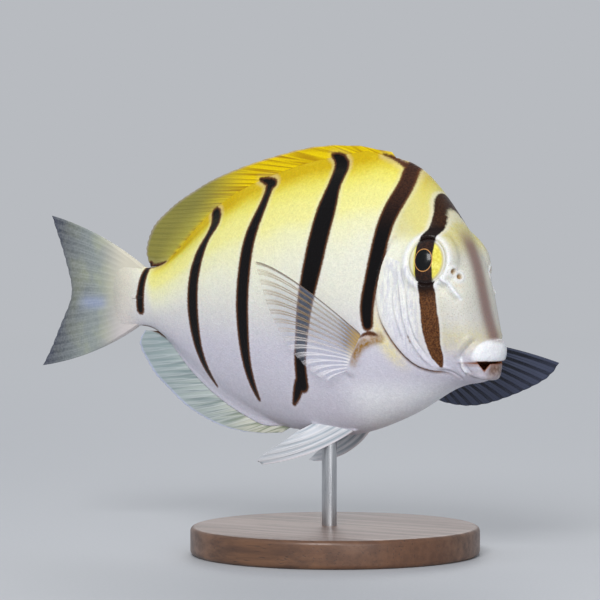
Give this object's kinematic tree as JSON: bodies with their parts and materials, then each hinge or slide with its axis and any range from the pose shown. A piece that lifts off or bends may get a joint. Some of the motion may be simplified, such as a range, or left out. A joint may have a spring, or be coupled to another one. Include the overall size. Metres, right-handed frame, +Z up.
{
  "type": "model fish on stand",
  "caption": "Life-size model of a convict tang: a deep, flat-sided reef fish with spread fins, held over a round display base by one rod.",
  "frame": {"origin": "centre of the display base's underside", "axes": "+X the way the fish faces, +Y its left side, +Z up"},
  "size_m": [0.1254, 0.062, 0.0875],
  "materials": {
    "fish_skin": "pale yellow above and white below with six dark bars, satin and finely scaled",
    "yellow_fin": "satin, yellow, ribbed by spines and rays",
    "clear_fin": "thin and translucent, ribbed by rays",
    "tail_spine": "white, smooth",
    "eye": "wet gloss",
    "base_wood": "dark stained, satin varnish",
    "rod_steel": "brushed"
  },
  "bodies": {
    "root": {"head": "fish_skin", "lower_jaw": "fish_skin", "gill_cover_left": "fish_skin", "gill_cover_right": "fish_skin", "torso": "fish_skin", "tail_stalk": "fish_skin", "tail_spine_left": "tail_spine", "tail_spine_right": "tail_spine", "eye_left": "eye", "eye_right": "eye", "dorsal_fin": "yellow_fin", "anal_fin": "clear_fin", "caudal_fin": "clear_fin", "pectoral_fin_left": "clear_fin", "pectoral_fin_right": "clear_fin", "pelvic_fin_left": "clear_fin", "pelvic_fin_right": "clear_fin", "stand_base": "base_wood", "stand_rod": "rod_steel"}
  },
  "joints": []
}
